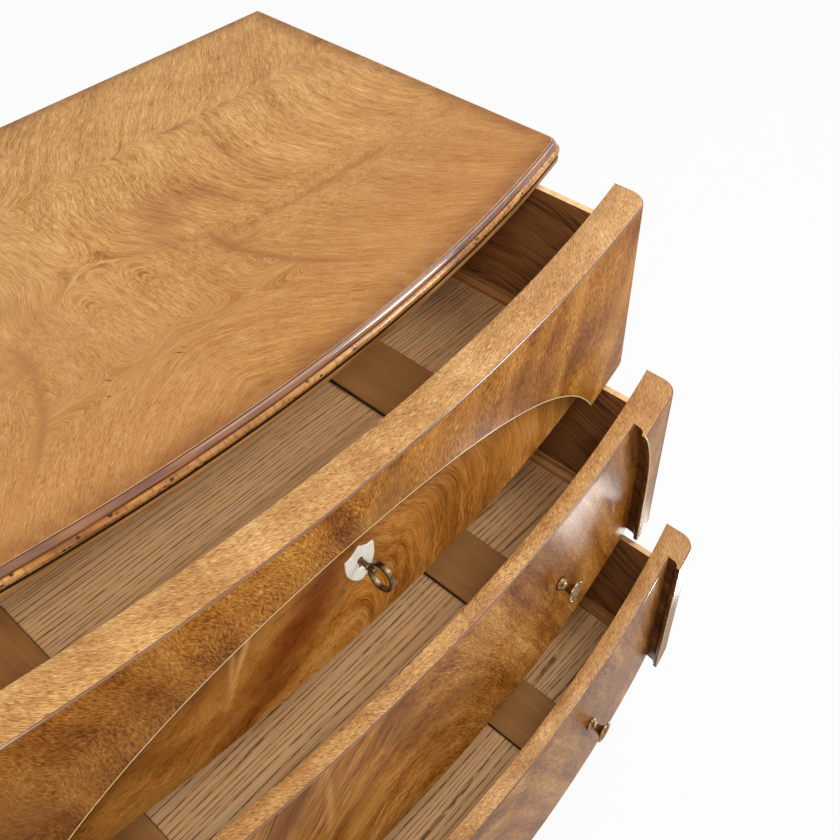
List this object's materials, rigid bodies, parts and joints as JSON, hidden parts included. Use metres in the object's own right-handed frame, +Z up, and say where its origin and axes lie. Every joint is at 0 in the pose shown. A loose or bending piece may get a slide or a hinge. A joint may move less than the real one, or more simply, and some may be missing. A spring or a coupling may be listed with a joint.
{
  "type": "bow-fronted nightstand",
  "caption": "Bow-fronted wooden nightstand with sliding drawers, an arched hollow-moulded recess across the fronts, turned brass knobs and a lock with a key.",
  "frame": {"origin": "on the floor, at the middle of the footprint of the whole piece in the rest pose, drawers open as modelled", "axes": "+Z up; the drawer fronts face -Y and slide out along -Y; +X to the right for someone who faces the fronts"},
  "size_m": [0.704, 0.5866, 0.6595],
  "materials": {
    "veneer_top": "figured golden-brown veneer, waxed satin polish",
    "veneer_front": "figured amber veneer, satin polish",
    "mahogany": "straight-grained brown wood, satin polish",
    "dark_mahogany": "dark stained wood, rubbed satin",
    "oak": "open-grained oak, matt",
    "antique_brass": "aged brass, soft sheen",
    "bone": "smooth bone, satin",
    "felt": "dark pressed felt"
  },
  "bodies": {
    "case": {"top_board": "veneer_top", "sub_top": "dark_mahogany", "side_left": "mahogany", "side_right": "mahogany", "post_left": "mahogany", "post_right": "mahogany", "back_panel": "oak", "rail_upper": "mahogany", "rail_lower": "mahogany", "bottom_board": "oak", "runner_top_left": "oak", "runner_top_right": "oak", "runner_middle_left": "oak", "runner_middle_right": "oak", "runner_bottom_left": "oak", "runner_bottom_right": "oak", "plinth_front": "mahogany", "plinth_left": "mahogany", "plinth_right": "mahogany", "plinth_back": "mahogany", "foot_front_left": "dark_mahogany", "foot_front_right": "dark_mahogany", "foot_back_left": "dark_mahogany", "foot_back_right": "dark_mahogany", "glides": "felt"},
    "drawer_top": {"front_top": "veneer_front", "box_left_top": "oak", "box_right_top": "oak", "box_back_top": "oak", "panels_top": "oak", "muntins_top": "oak", "slips_top": "oak", "shield": "bone", "lock_case": "antique_brass"},
    "drawer_middle": {"front_middle": "veneer_front", "box_left_middle": "oak", "box_right_middle": "oak", "box_back_middle": "oak", "panels_middle": "oak", "muntins_middle": "oak", "slips_middle": "oak", "knobs_middle": "antique_brass", "knob_screws_middle": "antique_brass"},
    "drawer_bottom": {"front_bottom": "veneer_front", "box_left_bottom": "oak", "box_right_bottom": "oak", "box_back_bottom": "oak", "panels_bottom": "oak", "muntins_bottom": "oak", "slips_bottom": "oak", "knobs_bottom": "antique_brass", "knob_screws_bottom": "antique_brass"},
    "key": {"key": "antique_brass"},
    "bolt": {"lock_bolt": "antique_brass"}
  },
  "joints": [
    {"name": "drawer_top_slide", "type": "slide", "parent": "case", "child": "drawer_top", "axis": [0, -1, 0], "range_m": [-0.084, 0.176]},
    {"name": "drawer_middle_slide", "type": "slide", "parent": "case", "child": "drawer_middle", "axis": [0, -1, 0], "range_m": [-0.139, 0.121]},
    {"name": "drawer_bottom_slide", "type": "slide", "parent": "case", "child": "drawer_bottom", "axis": [0, -1, 0], "range_m": [-0.188, 0.072]},
    {"name": "key_turn", "type": "hinge", "parent": "drawer_top", "child": "key", "pos_m": [0, -0.16668, 0.55249], "axis": [0, 1, 0], "range_deg": [-12, 168]},
    {"name": "bolt_slide", "type": "slide", "parent": "drawer_top", "child": "bolt", "axis": [0, 0, 1], "range_m": [-0.00096, 0.01354]}
  ],
  "couplings": [
    {"joint": "key_turn", "follows": "bolt_slide", "rad_per_m": 216.45}
  ]
}
